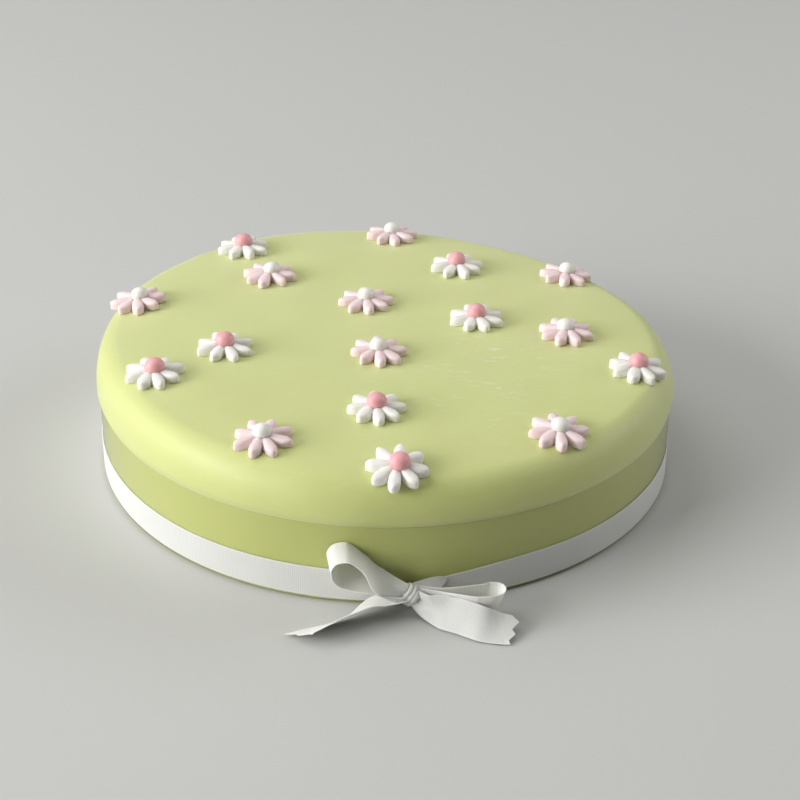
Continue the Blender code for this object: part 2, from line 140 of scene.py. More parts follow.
def turned(radius: ndarray, turns: ndarray, height: ndarray) -> ndarray:
    """Place points round +Z, from their radius, angle and height."""
    return np.stack(np.broadcast_arrays(radius * np.cos(turns), radius * np.sin(turns), height), axis=-1)


def carried(points: ndarray, place: Matrix) -> ndarray:
    """Move rows of points by a matrix."""
    return points @ np.array(place.to_3x3()).T + np.array(place.translation)


def smooth_through(values: ndarray, knots: ndarray, places: ndarray) -> ndarray:
    """Read a cubic curve through values at knots; its slopes follow the neighbours.

    Args:
        values: One row for each knot.
        knots: Increasing distances along the curve.
        places: Distances at which the curve is read.

    Returns:
        One row for each place.
    """
    slopes = np.gradient(values, knots, axis=0)
    index = np.clip(np.searchsorted(knots, places, side="right") - 1, 0, len(knots) - 2)
    span = (knots[index + 1] - knots[index])[:, None]
    t = (places - knots[index])[:, None] / span
    start, end = values[index], values[index + 1]
    leave, arrive = slopes[index] * span, slopes[index + 1] * span
    stay = start * (2 * t**3 - 3 * t**2 + 1) + end * (3 * t**2 - 2 * t**3)
    return stay + leave * (t**3 - 2 * t**2 + t) + arrive * (t**3 - t**2)


def tube_faces(rows: int, columns: int, ring: bool, capped: bool = False) -> list[tuple[int, ...]]:
    """Number the faces of a tube whose cross-sections are closed loops of points.

    Args:
        rows: Number of cross-sections.
        columns: Points in each.
        ring: Whether the last cross-section joins the first.
        capped: Whether a face closes each end.

    Returns:
        The faces, as point numbers.
    """
    made = []
    for row in range(rows if ring else rows - 1):
        here, there = row * columns, (row + 1) % rows * columns
        for column in range(columns):
            after = (column + 1) % columns
            made.append((here + column, here + after, there + after, there + column))
    if capped:
        made += [tuple(range(start, start + columns)) for start in (0, (rows - 1) * columns)]
    return made


@dataclass
class Skin:
    """Points and faces of a mesh while it is put together, with named values on its points."""

    points: ndarray
    faces: list[tuple[int, ...]]
    values: dict[str, ndarray] = field(default_factory=dict)

    def joined(self, other: Skin) -> Skin:
        """Put both skins into one.

        Args:
            other: The skin that comes after this one.

        Returns:
            The joined skin.
        """
        start = len(self.points)
        moved = [tuple(i + start for i in face) for face in other.faces]
        values = {name: np.concatenate((self.values[name], other.values[name])) for name in self.values}
        return Skin(np.vstack((self.points, other.points)), self.faces + moved, values)

    def mesh(self, name: str, sharp: float) -> Mesh:
        """Make the Blender mesh, its faces outwards and shaded smooth up to an angle.

        Args:
            name: The mesh's name.
            sharp: Edges steeper than this, in degrees, stay crisp.

        Returns:
            The mesh.
        """
        made = bpy.data.meshes.new(name)
        made.from_pydata(self.points.tolist(), [], self.faces)
        for label, row in self.values.items():
            made.attributes.new(label, "FLOAT", "POINT").data.foreach_set("value", row.astype(np.float32))
        work = bmesh.new()
        work.from_mesh(made)
        bmesh.ops.recalc_face_normals(work, faces=work.faces)
        work.to_mesh(made)
        work.free()
        made.shade_smooth()
        made.set_sharp_from_angle(angle=radians(sharp))
        return made


def put(name: str, data: ID) -> Object:
    """Put a mesh, lamp or camera into the scene.

    Args:
        name: The object's name.
        data: What it shows.

    Returns:
        The new object.
    """
    made = bpy.data.objects.new(name, data)
    bpy.context.scene.collection.objects.link(made)
    return made


def piece(
    name: str, mesh: Mesh, materials: list[Material], slot: str, *nodes: str
) -> Object:
    """Put a mesh into the scene as a piece that rides on the cake and stands for CAD nodes.

    Args:
        name: The piece's name.
        mesh: Its mesh.
        materials: Its materials, in the order of its faces' indices.
        slot: The record's material slot; not used.
        *nodes: The CAD nodes it stands for.

    Returns:
        The new object.
    """
    made = put(name, mesh)
    for material in materials:
        mesh.materials.append(material)
    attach(made, BODY)
    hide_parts(*nodes)
    LOG.info("%s: %d faces", name, len(mesh.polygons))
    return made


@dataclass(frozen=True)
class Wave:
    """One smooth wave round the cake: how many crests, how high, and where one crest is, in degrees."""

    count: int
    height: float
    crest: float


def swell(waves: tuple[Wave, ...], angle: ndarray, reach: ndarray) -> ndarray:
    """Sum waves at an angle in radians, fading smoothly to nothing at the middle, where reach is 0."""
    return sum(w.height * reach**w.count * np.cos(w.count * (angle - radians(w.crest))) for w in waves)


@dataclass(frozen=True)
class HandWork:
    """Slow, shallow unevenness that a hand leaves in soft paste, as a sum of plane waves."""

    seed: int
    depth: float
    shortest: float
    longest: float
    count: int = 26
    evened: float = 0.45  # brings the sum of the waves to about the depth

    def at(self, points: ndarray) -> ndarray:
        """Read the unevenness at points.

        Args:
            points: Rows of x, y and z.

        Returns:
            One depth for each row, mostly within plus or minus the nominal depth.
        """
        rng = np.random.default_rng(self.seed)
        total = np.zeros(len(points))
        for _ in range(self.count):
            way = unit(rng.normal(size=3))
            length = self.shortest * (self.longest / self.shortest) ** rng.random()
            phase = 2 * pi * (points @ way) / length + rng.random() * 2 * pi
            total += (length / self.longest) * np.sin(phase)
        return self.depth * total / (self.evened * self.count**0.5)


# ---- finishes
@dataclass(frozen=True)
class RolledMarzipan:
    """Almond paste, dyed pale green, rolled out and smoothed over the cake by hand.

    The eye sees a soft satin face, faintly mottled, a little light inside it, a fine grain of ground
    almond, and whitish scuffs of the starch that it was rolled out on.
    """

    colour: str = "CAD081"
    deeper: str = "C4CB77"
    powder: str = "EAEBD8"
    mottle: float = 45 * MM  # size of the soft patches of colour
    roughness: Pair = (0.50, 0.62)  # from one patch to the next
    grain: float = 0.9 * MM  # ground almond, drawn as coarse as it needs to show
    grain_depth: float = 0.035 * MM
    ripple: float = 7.0 * MM  # marks of the smoothing hand
    ripple_depth: float = 0.10 * MM
    scuff: float = 2.6 * MM
    scuff_turn: float = 12.0  # degrees from +X, the way in which the scuffs are drawn out
    scuff_squeeze: Triple = (0.35, 1.0, 1.0)
    scuff_levels: Pair = (0.53, 0.72)  # of the noise, where a scuff begins and where it is full
    drift: float = 16 * MM  # size of the patches in which the starch lies
    drift_levels: Pair = (0.42, 0.62)
    scuffed_at: Triple = (0.045, -0.035, 0.064)  # where most of the starch lies
    scuffed_within: Pair = (75 * MM, 12 * MM)  # how far from there it thins out
    scuffed: Pair = (0.12, 0.70)  # how much of it shows, far from there and near

    def material(self) -> Material:
        """Build the material.

        Returns:
            The material.
        """
        made = bpy.data.materials.new("rolled marzipan")
        add = emptied(made)
        place = add("TexCoord", output="Object")
        patches = add("TexNoise", {"Vector": place, "Scale": 1 / self.mottle, "Detail": 3.0})
        dyed = {0: patches, 6: linear(self.colour), 7: linear(self.deeper)}
        base = add("Mix", dyed, 2, data_type="RGBA")
        away = add("VectorMath", {0: place, 1: self.scuffed_at}, "Value", operation="DISTANCE")
        near = {"Value": away, "From Min": self.scuffed_within[0], "From Max": self.scuffed_within[1]}
        near.update({"To Min": self.scuffed[0], "To Max": self.scuffed[1]})
        dusted = add("MapRange", near, interpolation_type="SMOOTHSTEP")
        way = (0.0, 0.0, radians(self.scuff_turn))
        drawn = {"Vector": place, "Rotation": way, "Scale": self.scuff_squeeze}
        streaks = {"Vector": add("Mapping", drawn), "Scale": 1 / self.scuff}
        streaks.update({"Detail": 6.0, "Roughness": 0.7})
        drifts = {"Vector": place, "Scale": 1 / self.drift}
        for noise, (low, high) in ((streaks, self.scuff_levels), (drifts, self.drift_levels)):
            level = {"Value": add("TexNoise", noise), "From Min": low, "From Max": high}
            shown = {0: add("MapRange", level), 1: dusted}
            dusted = add("Math", shown, operation="MULTIPLY")
        powdered = {0: dusted, 6: base, 7: linear(self.powder)}
        ripple = add("TexNoise", {"Vector": place, "Scale": 1 / self.ripple, "Detail": 1.0})
        broad = add("Bump", {"Height": ripple, "Distance": self.ripple_depth, "Strength": 0.6})
        ground = {"Vector": place, "Scale": 1 / self.grain, "Detail": 3.0, "Roughness": 0.6}
        fine = {"Height": add("TexNoise", ground), "Distance": self.grain_depth}
        fine.update({"Strength": 0.7, "Normal": broad})
        satin = {"Value": patches, "To Min": self.roughness[0], "To Max": self.roughness[1]}
        paste = {
            "Base Color": add("Mix", powdered, 2, data_type="RGBA"),
            "Roughness": add("MapRange", satin),
            "IOR": 1.5,
            "Specular IOR Level": 0.6,
            "Subsurface Weight": 0.32,
            "Subsurface Radius": (1.0, 0.85, 0.3),
            "Subsurface Scale": 2.6 * MM,
            "Coat Weight": 1.0,
            "Coat Roughness": 0.75,
            "Sheen Weight": 0.32,
            "Sheen Roughness": 0.5,
            "Normal": add("Bump", fine),
        }
        add("OutputMaterial", {"Surface": add("BsdfPrincipled", paste)})
        return made


@dataclass(frozen=True)
class ClearFilm:
    """Cast clear plastic film, drawn tight round the cake.

    Its outer face mirrors the bow and the room faintly, more so where it is seen at a slant. Its inner
    face clings to the icing and has no gloss of its own. Its cut edge is a thin, greyer line.
    """

    clear: str = "F9F9F5"
    mirror: str = "D8D8D8"
    edge: str = "B9BE96"
    ior: float = 1.35
    nick: float = 2 * MM  # length of the small unevennesses of the cut

    def face(self) -> Material:
        """Build the outer face, which mirrors what is outside and lets light from inside pass.

        Returns:
            The material.
        """
        made = bpy.data.materials.new("clear plastic film")
        add = emptied(made)
        inside = add("NewGeometry", output="Backfacing")
        outside = add("Math", {0: 1.0, 1: inside}, operation="SUBTRACT")
        slant = add("Fresnel", {"IOR": self.ior})
        share = add("Math", {0: slant, 1: outside}, operation="MULTIPLY")
        through = add("BsdfTransparent", {"Color": linear(self.clear)})
        gloss = add("BsdfGlossy", {"Color": linear(self.mirror), "Roughness": 0.04})
        both = add("MixShader", {0: share, 1: through, 2: gloss})
        add("OutputMaterial", {"Surface": both})
        return made

    def clinging(self) -> Material:
        """Build the inner face, close against the icing.

        Returns:
            The material.
        """
        made = bpy.data.materials.new("clear plastic film inside")
        add = emptied(made)
        through = add("BsdfTransparent", {"Color": linear(self.clear)})
        add("OutputMaterial", {"Surface": through})
        return made

    def cut(self) -> Material:
        """Build the cut edge.

        Returns:
            The material.
        """
        made = bpy.data.materials.new("clear plastic film cut edge")
        add = emptied(made)
        place = add("TexCoord", output="Object")
        nicks = add("TexNoise", {"Vector": place, "Scale": 1 / self.nick})
        rough = add("MapRange", {"Value": nicks, "To Min": 0.2, "To Max": 0.5})
        sliced = {"Base Color": linear(self.edge), "Roughness": rough, "IOR": self.ior, "Alpha": 0.6}
        add("OutputMaterial", {"Surface": add("BsdfPrincipled", sliced)})
        return made


@dataclass(frozen=True)
class Grosgrain:
    """White polyester ribbon, woven with thick cords across it and a tight edge.

    The eye sees fine ribs across the width, with painted shade in the grooves between them, a beaded line
    along each edge with a painted highlight on it, and the slight sheen of the threads over the ribs. The
    ribs are in the mesh.
    """

    cloth: str = "E7E7E1"
    # painted shade: the cloth's colour darkened where the grooves between the ribs lie
    groove_and_shade: str = "D7D7D0"
    # the selvedge's cloth, made lighter by a painted highlight along each edge
    selvedge_and_highlight: str = "ECECE8"
    thread: float = 0.35 * MM
    thread_depth: float = 0.05 * MM

    def material(self) -> Material:
        """Build the material, which reads the mesh's own values of groove and selvedge and paints shade into
        the grooves and a highlight onto the selvedge.

        Returns:
            The material.
        """
        made = bpy.data.materials.new("woven grosgrain polyester")
        add = emptied(made)
        colour = linear(self.cloth)
        # Painted shade in the grooves and a painted highlight on the selvedge, mixed into the cloth's
        # colour.
        for label, shade in (("groove_and_shade", self.groove_and_shade), ("selvedge_and_highlight", self.selvedge_and_highlight)):
            share = add("Attribute", output="Fac", attribute_name=label)
            colour = add("Mix", {0: share, 6: colour, 7: linear(shade)}, 2, data_type="RGBA")
        place = add("TexCoord", output="Object")
        threads = add("TexNoise", {"Vector": place, "Scale": 1 / self.thread})
        bump = add("Bump", {"Height": threads, "Distance": self.thread_depth, "Strength": 0.5})
        woven = {
            "Base Color": colour,
            "Roughness": 0.62,
            "IOR": 1.5,
            "Sheen Weight": 0.25,
            "Sheen Roughness": 0.4,
            "Subsurface Weight": 0.7,
            "Subsurface Radius": (1.0, 1.0, 0.96),
            "Subsurface Scale": 1.4 * MM,
            "Normal": bump,
        }
        add("OutputMaterial", {"Surface": add("BsdfPrincipled", woven)})
        return made


@dataclass(frozen=True)
class SugarFinish:
    """Sugar paste pressed in a mould and dried: matt, chalky, a little light inside it, finely grained."""

    name: str
    colour: str
    deeper: str
    roughness: float
    grain: float = 0.45 * MM
    grain_depth: float = 0.05 * MM
    blotch: float = 3.0 * MM
    depth: float = 2.2 * MM  # how far light goes into it

    def material(self) -> Material:
        """Build the material.

        Returns:
            The material.
        """
        made = bpy.data.materials.new(self.name)
        add = emptied(made)
        place = add("TexCoord", output="Object")
        blotches = add("TexNoise", {"Vector": place, "Scale": 1 / self.blotch, "Detail": 3.0})
        dyed = {0: blotches, 6: linear(self.colour), 7: linear(self.deeper)}
        fine = {"Vector": place, "Scale": 1 / self.grain, "Detail": 4.0, "Roughness": 0.6}
        chalk = {"Height": add("TexNoise", fine), "Distance": self.grain_depth, "Strength": 0.8}
        paste = {
            "Base Color": add("Mix", dyed, 2, data_type="RGBA"),
            "Roughness": self.roughness,
            "IOR": 1.5,
            "Subsurface Weight": 0.6,
            "Subsurface Radius": linear(self.colour)[:3],
            "Subsurface Scale": self.depth,
            "Normal": add("Bump", chalk),
        }
        add("OutputMaterial", {"Surface": add("BsdfPrincipled", paste)})
        return made


@dataclass(frozen=True)
class StudioPaper:
    """Plain pale seamless paper on the floor: matt and even, with a faint tooth."""

    colour: str = "C2C2BF"
    tooth: float = 3 * MM
    tooth_depth: float = 0.05 * MM

    def material(self) -> Material:
        """Build the material.

        Returns:
            The material.
        """
        made = bpy.data.materials.new("seamless paper")
        add = emptied(made)
        place = add("TexCoord", output="Object")
        fibres = add("TexNoise", {"Vector": place, "Scale": 1 / self.tooth})
        bump = add("Bump", {"Height": fibres, "Distance": self.tooth_depth, "Strength": 0.3})
        paper = {"Base Color": linear(self.colour), "Roughness": 0.85, "Normal": bump}
        add("OutputMaterial", {"Surface": add("BsdfPrincipled", paper)})
        return made


# ---- the cake
@dataclass(frozen=True)
class IcedCake:
    """The cake in its marzipan: a leaning, gently domed round with a soft rim."""

    gap: float = 0.3 * MM  # left between pieces that touch
    film: float = 0.15 * MM  # thickness of the film
    ribbon: float = 0.4 * MM  # thickness of the ribbon
    band_radius: float = 144.0 * MM  # of the ribbon's outer face
    height: float = 65.3 * MM  # at the middle of the top
    shoulder_drop: float = 2.1 * MM  # how far the dome has come down where the rim starts to round
    shoulder_power: int = 6
    edge_across: float = 12.5 * MM
    edge_down: float = 17.0 * MM
    edge_power: float = 2.2  # 2 rounds the rim as an ellipse; more keeps it fuller
    bulge: float = 1.0 * MM  # how far the icing's side stands out over the film
    film_foot: float = 0.6 * MM
    film_width: float = 39.8 * MM
    tuck: float = 0.05 * MM  # from the icing to the film's upper edge, which it rests against
    foot_round: float = 2.4 * MM
    lean_rise: float = 14 * MM  # height above the film over which the top's lean comes in
    around: int = 400
    rings: tuple[int, ...] = (62, 33, 13, 22, 6)  # of the top, rim, side, face behind the film and foot
    plan: tuple[Wave, ...] = (Wave(1, 1.9 * MM, 181), Wave(2, 2.3 * MM, -43), Wave(3, 1.1 * MM, 8))
    top: tuple[Wave, ...] = (Wave(1, 3.0 * MM, 170), Wave(2, 1.0 * MM, -6), Wave(3, 0.7 * MM, -17))
    hand: HandWork = HandWork(seed=4, depth=0.16 * MM, shortest=22 * MM, longest=90 * MM)
    film_marks: float = 0.06 * MM  # depth of the soft waves that the film has pressed into the side
    film_waves: Pair = (190.0, 9.0)  # radians for each metre up the side, and waves round it
    dent_angle: float = 143.0  # of the small dent that a thumb left in the rim
    dent_height: float = 7.0 * MM  # of its middle, over the top of the wall
    dent_depth: float = 1.4 * MM
    dent_width: float = 7.0 * MM

    @property
    def film_outer(self) -> float:
        """Radius of the film's outer face."""
        return self.band_radius - self.ribbon - self.gap

    @property
    def film_inner(self) -> float:
        """Radius of the film's inner face."""
        return self.film_outer - self.film

    @property
    def cake_radius(self) -> float:
        """Radius of the icing behind the film."""
        return self.film_inner - self.tuck

    @property
    def icing_radius(self) -> float:
        """Radius of the icing above the film, where it is widest."""
        return self.film_outer + self.tuck + self.bulge

    @property
    def film_top(self) -> float:
        """Height of the film's upper edge."""
        return self.film_foot + self.film_width

    @property
    def shoulder(self) -> float:
        """Radius at which the top starts to round over."""
        return self.icing_radius - self.edge_across

    @property
    def wall_top(self) -> float:
        """Height at which the rim's rounding has become the wall."""
        return self.height - self.shoulder_drop - self.edge_down

    def rounding(self, part: ndarray) -> ndarray:
        """How far the rim has come down, for shares of the way out from the shoulder."""
        return self.edge_down * (1 - (1 - part**self.edge_power) ** (1 / self.edge_power))

    def grown(self, angle: ndarray) -> ndarray:
        """How much wider than a true round the cake is at an angle."""
        return 1 + swell(self.plan, angle, 1.0) / self.icing_radius

    def leaning(self, level: ndarray, angle: ndarray, reach: ndarray) -> ndarray:
        """Lean the heights of a level cake, at angles and shares of its radius, down to the film."""
        lift = np.clip((level - self.film_top - self.gap) / self.lean_rise, 0.0, 1.0)
        return level + lift * swell(self.top, angle, reach)

    def top_height(self, x: ndarray, y: ndarray) -> ndarray:
        """Height of the true icing surface over points of the table.

        Args:
            x: Distances to the right.
            y: Distances to the back.

        Returns:
            One height for each point.
        """
        angle = np.arctan2(y, x)
        radius = np.hypot(x, y) / self.grown(angle)
        level = self.height - self.shoulder_drop * (radius / self.shoulder) ** self.shoulder_power
        level = level - self.rounding(np.clip((radius - self.shoulder) / self.edge_across, 0.0, 1.0))
        return self.leaning(level, angle, radius / self.icing_radius)

    def dent(self, points: ndarray) -> ndarray:
        """Read the depth of the dent.

        Args:
            points: Rows of x, y and z.

        Returns:
            One depth for each row.
        """
        height = self.wall_top + self.dent_height
        middle = turned(self.icing_radius, radians(self.dent_angle), height)
        away = np.linalg.norm((points - middle) * (1.0, 1.0, 0.8), axis=-1)
        return self.dent_depth * np.exp(-((away / self.dent_width) ** 2))

    def profile(self) -> ndarray:
        """Draw the outline from the middle of the top, over the rim and down to the underside.

        Returns:
            Rows of radius and height.
        """
        top, rim, side, wall, foot = self.rings
        outline = []
        for share in np.linspace(0.012, 1.0, top) ** 0.8:
            z = self.height - self.shoulder_drop * share**self.shoulder_power
            outline.append((self.shoulder * share, z))
        for turn in np.linspace(0, pi / 2, rim)[1:]:
            part = sin(turn) ** (2 / self.edge_power)
            radius = self.shoulder + self.edge_across * part
            drop = self.shoulder_drop * (radius / self.shoulder) ** self.shoulder_power
            outline.append((radius, self.height - drop - float(self.rounding(min(part, 1.0)))))
        lowest = outline[-1][1]
        for share in np.linspace(0, 1, side)[1:]:
            z = lowest + (self.film_top + self.tuck - lowest) * share
            outline.append((self.icing_radius - self.bulge * share**2, z))
        for z in np.linspace(self.film_top - self.tuck, self.foot_round, wall):
            outline.append((self.cake_radius, z))
        for turn in np.linspace(0, pi / 2, foot)[1:]:
            inwards, down = self.foot_round * (1 - cos(turn)), self.foot_round * (1 - sin(turn))
            outline.append((self.cake_radius - inwards, down))
        outline.append((self.cake_radius * 0.5, 0.0))
        return np.array(outline)

    def uneven(self, points: ndarray) -> ndarray:
        """Move points of a true round to the cake's own plan and leaning top.

        Args:
            points: An array of x, y and z on the true round.

        Returns:
            The moved points.
        """
        x, y, z = np.moveaxis(points, -1, 0)
        angle = np.arctan2(y, x)
        z = self.leaning(z, angle, np.hypot(x, y) / self.icing_radius)
        return np.stack((x * self.grown(angle), y * self.grown(angle), z), axis=-1)

    def surface_height(self, x: ndarray, y: ndarray) -> ndarray:
        """Height of the icing over points of the table, with the hand's unevenness."""
        level = self.top_height(x, y)
        return level + self.hand.at(np.column_stack((x, y, level)))

    def build(self, finish: RolledMarzipan) -> Object:
        """Build the cake.

        Args:
            finish: The icing's finish.

        Returns:
            The cake's piece.
        """
        outline = self.profile()
        points = self.uneven(turned(outline[:, :1], full_turn(self.around), outline[:, 1:]))
        down = np.gradient(points, axis=0)
        onwards = np.roll(points, -1, axis=1) - np.roll(points, 1, axis=1)
        normal = unit(np.cross(down, onwards)).reshape(-1, 3)
        points = points.reshape(-1, 3)
        z = points[:, 2]
        free = ease(self.film_top + self.gap, self.film_top + 4 * MM, z)
        phase = z * self.film_waves[0] + np.arctan2(points[:, 1], points[:, 0]) * self.film_waves[1]
        marks = self.film_marks * (np.sin(phase) - 1)
        behind = (1 - free) * (z < self.film_top) * (z > self.foot_round)
        push = (self.hand.at(points) - self.dent(points)) * free + marks * behind
        points = points + normal * push[:, None]
        top = np.array([[0.0, 0.0, self.height]])
        top[0, 2] += self.hand.at(top)[0]
        count = len(points)
        faces = tube_faces(len(outline), self.around, False)
        last = count - self.around
        for column in range(self.around):
            after = (column + 1) % self.around
            faces.append((count, column, after))
            faces.append((count + 1, last + after, last + column))
        skin = Skin(np.vstack((points, top, [[0.0, 0.0, 0.0]])), faces)
        return piece("iced_cake", skin.mesh("iced_cake", 60), [finish.material()], "marzipan", "cake")


# ---- the collar
@dataclass(frozen=True)
class FilmCollar:
    """The clear collar, a hoop of film standing round the cake's side."""

    cake: IcedCake
    around: int = 384
    edge_round: float = 0.1 * MM

    def build(self, finish: ClearFilm) -> Object:
        """Build the collar.

        Args:
            finish: The film's finish.

        Returns:
            The collar's piece.
        """
        form = self.cake
        foot, top = form.film_foot, form.film_top
        inset = self.edge_round
        section = [
            (form.film_outer - inset, top),
            (form.film_outer, top - inset),
            (form.film_outer, (top + foot) / 2),
            (form.film_outer, foot + inset),
            (form.film_outer - inset, foot),
            (form.film_inner, foot),
            (form.film_inner, top),
        ]
        points = [(r * cos(a), r * sin(a), z) for a in full_turn(self.around) for r, z in section]
        skin = Skin(form.uneven(np.array(points)), tube_faces(self.around, len(section), True))
        mesh = skin.mesh("film_wrap", 40)
        middle = (form.film_outer + form.film_inner) / 2
        for face in mesh.polygons:
            x, y, z = face.center
            reach = hypot(x, y) / float(form.grown(np.arctan2(y, x)))
            sheet = abs(face.normal.z) < 0.5 and foot + inset * 2 < z < top - inset * 2
            face.material_index = 2 if not sheet else (0 if reach > middle else 1)
        materials = [finish.face(), finish.clinging(), finish.cut()]
        return piece("film_wrap", mesh, materials, "clear_film", "film_collar")


# ---- the ribbon
FULL = 15.0  # mm, the ribbon's width


@dataclass(frozen=True)
class Length:
    """A length of ribbon, laid through stations."""

    # Each station: (x, y and z of the middle in mm, x, y and z of the direction across it, width in mm)
    stations: tuple[tuple[float, ...], ...]
    cut: tuple[Pair, ...] = ((0.0, 0.0), (1.0, 0.0))  # (share of the width, stands out mm)
    arch: float = 0.0  # how hollow it is along its middle
    # Creases that run out of the knot: (share of the width, depth mm, half width as a share, how far mm)
    creases: tuple[tuple[float, float, float, float], ...] = ()
    both_ends: bool = False  # whether they run out of the knot at both ends


@dataclass(frozen=True)
class TiedRibbon:
    """One length of grosgrain ribbon, drawn round the foot of the cake and tied in a bow."""

    cake: IcedCake
    foot: float = 2.5 * MM
    snug: float = 0.22 * MM  # how far the tying has drawn the band in towards the film
    width: float = FULL * MM
    rib: float = 0.9 * MM  # from one cord of the weave to the next
    rib_depth: float = 0.05 * MM
    bead: float = 0.24 * MM  # how far the cords stand out of the edges
    points_to_a_rib: int = 4
    columns: int = 10
    cut_reach: float = 4 * MM  # how near its end a slanting cut draws the ribbon with it
    arch_reach: float = 12 * MM  # how far from the knot a hollow is at its full depth
    band_shares: tuple[float, ...] = (0.0, 0.05, 0.35, 0.65, 0.95, 1.0)
    # How far the knot draws the band's upper edge down: (degrees from +X, mm)
    pinch: tuple[Pair, ...] = (
        (-95.6, 0),
        (-90.0, 3.5),
        (-84.4, 8.5),
        (-78.8, 4.1),
        (-73.1, 2.0),
        (-67.5, 0.6),
        (-61.9, 0),
    )
    knot_middle: Triple = (11.8 * MM, -149.6 * MM, 9.9 * MM)
    knot_mesh: tuple[int, int] = (64, 150)  # points along it and round it
    knot_ribs: int = 38
    knot_tilt: float = 34.0  # degrees
    knot_half_length: float = 4.6 * MM
    knot_radius: float = 5.3 * MM
    knot_flatten: float = 0.82
    # Each fold of the knot: (where it ends along the knot, how far it stands below the widest, mm)
    knot_folds: tuple[Pair, ...] = ((-0.62, 0.9), (-0.2, 0.35), (0.92, 0.0), (1.0, 0.8))
    fold_depth: float = 1.3 * MM
    cut_length: float = 1.22  # of the whole ribbon

    left_loop: Length = Length(
        (
            (9.8, -152.4, 12.0, -0.5, -0.4, -0.8, 8.6),
            (3.6, -152.2, 14.7, -0.5, -0.85, -0.42, 11.5),
            (-2.6, -151.2, 19.0, -0.18, -1.0, -0.17, FULL),
            (-8.0, -151.2, 26.6, -0.03, -1.0, 0.04, FULL),
            (-16.2, -150.8, 32.0, 0.1, -1.0, -0.05, FULL),
            (-21.3, -150.6, 30.2, 0.19, -1.0, 0.0, FULL),
            (-23.2, -150.7, 26.9, 0.17, -1.0, 0.03, FULL),
            (-22.6, -150.7, 23.4, 0.15, -1.0, -0.05, FULL),
            (-19.6, -150.7, 20.4, 0.15, -1.0, -0.18, FULL),
            (-14.6, -150.5, 18.7, 0.17, -1.0, -0.24, FULL),
            (-4.2, -151.0, 16.2, 0.0, -1.0, -0.15, 14),
            (3.5, -150.4, 12.8, 0.0, -1.0, -0.1, 11),
            (10.5, -149.5, 10.2, 0.0, -1.0, 0.0, 8),
        ),
        creases=((0.3, 0.9, 0.12, 14), (0.62, -0.6, 0.1, 11), (0.85, 0.6, 0.08, 9)),
        both_ends=True,
    )
    right_loop: Length = Length(
        (
            (13.5, -149.3, 9.9, 0.0, -0.2, -1.0, 8),
            (25.2, -149.9, 7.6, 0.0, 0.1, -1.0, 12.5),
            (34.1, -149.9, 7.8, 0.0, 0.15, -1.0, 14.2),
            (42.0, -149.2, 7.9, -0.1, 0.08, -1.0, 14.6),
            (48.0, -148.8, 8.2, -0.25, 0.03, -1.0, FULL),
            (51.2, -150.8, 8.4, -0.36, 0.0, -1.0, FULL),
            (51.4, -154.6, 8.4, -0.38, 0.0, -1.0, FULL),
            (48.2, -157.8, 8.2, -0.32, 0.04, -1.0, FULL),
            (42.0, -158.8, 7.9, -0.15, 0.08, -1.0, 14.6),
            (34.1, -156.4, 7.8, 0.0, 0.08, -1.0, 14.2),
            (25.2, -152.8, 7.6, 0.0, 0.05, -1.0, 12.5),
            (13.5, -149.8, 9.6, 0.0, -0.1, -1.0, 8),
        ),
        creases=((0.35, 0.7, 0.12, 16), (0.7, -0.5, 0.1, 12)),
        both_ends=True,
    )
    right_tail: Length = Length(
        (
            (13.5, -150.5, 9.4, -0.1, -0.2, -1.0, 8),
            (19.9, -155.5, 7.2, -0.2, -0.28, -1.0, 11),
            (27.3, -158.8, 6.9, -0.36, -0.63, -1.0, FULL),
            (36.1, -163.0, 6.8, -0.4, -0.66, -1.0, FULL),
            (44.3, -166.5, 5.9, -0.38, -1.0, -1.0, FULL),
            (51.1, -166.8, 4.2, -0.43, -1.95, -1.0, FULL),
            (57.6, -167.1, 3.4, -0.15, -2.75, -1.0, FULL),
        ),
        cut=((0.0, -1.0), (0.19, 2.0), (0.48, -0.9), (0.63, 0.7), (0.88, -2.0), (1.0, -1.3)),
        creases=((0.46, 1.5, 0.15, 17), (0.14, -0.5, 0.08, 12), (0.8, -0.5, 0.12, 13)),
    )
    left_tail: Length = Length(
        (
            (10.5, -150.2, 8.6, 0.0, -1.0, 0.1, 8),
            (4.5, -151.4, 8.3, 0.0, -1.0, 0.2, 12),
            (-1.4, -152.6, 8.0, 0.1, -1.0, 0.27, FULL),
            (-12.5, -159.8, 6.2, 0.07, -1.0, 0.67, FULL),
            (-22.0, -165.2, 5.0, 0.06, -1.0, 0.68, FULL),
            (-29.0, -169.0, 4.5, 0.52, -1.0, 0.68, FULL),
            (-35.4, -172.6, 4.3, 1.06, -1.0, 0.65, FULL),
        ),
        cut=((0.0, 3.7), (0.28, 0.3), (0.5, 0.6), (0.8, -3.1), (1.0, -2.8)),
        arch=-0.5 * MM,
        creases=((0.35, 0.6, 0.12, 12), (0.7, -0.4, 0.1, 10)),
    )
    left_gather: Length = Length(
        (
            (-3.0, -143.79, 8.6, 0.0, 0.0, -1.0, 12.0),
            (4.5, -146.3, 9.4, 0.0, -0.1, -1.0, 10.5),
            (11.0, -149.0, 10.2, 0.0, -0.1, -1.0, 8.5),
        )
    )
    right_gather: Length = Length(
        (
            (29.2, -140.95, 12.7, 0.0, 0.0, -1.0, 1.2),
            (26.0, -142.2, 11.9, 0.0, -0.5, -1.0, 4.4),
            (21.0, -145.6, 11.3, 0.0, -0.95, -0.8, 7.2),
            (15.0, -149.0, 10.9, 0.0, -1.0, -0.75, 8),
        )
    )

    def shares(self, cut: tuple[Pair, ...]) -> ndarray:
        """Spread places across the ribbon, with one at each corner of its cut.

        Args:
            cut: The shape of the cut.

        Returns:
            The places, as shares of the width.
        """
        even = np.linspace(0.05, 0.95, self.columns - 2)
        corners = np.array([share for share, _ in cut])
        kept = [share for share in even if np.abs(corners - share).min() > 0.03]
        return np.array(sorted({0.0, 0.05, 0.95, 1.0, *kept, *corners.tolist()}))

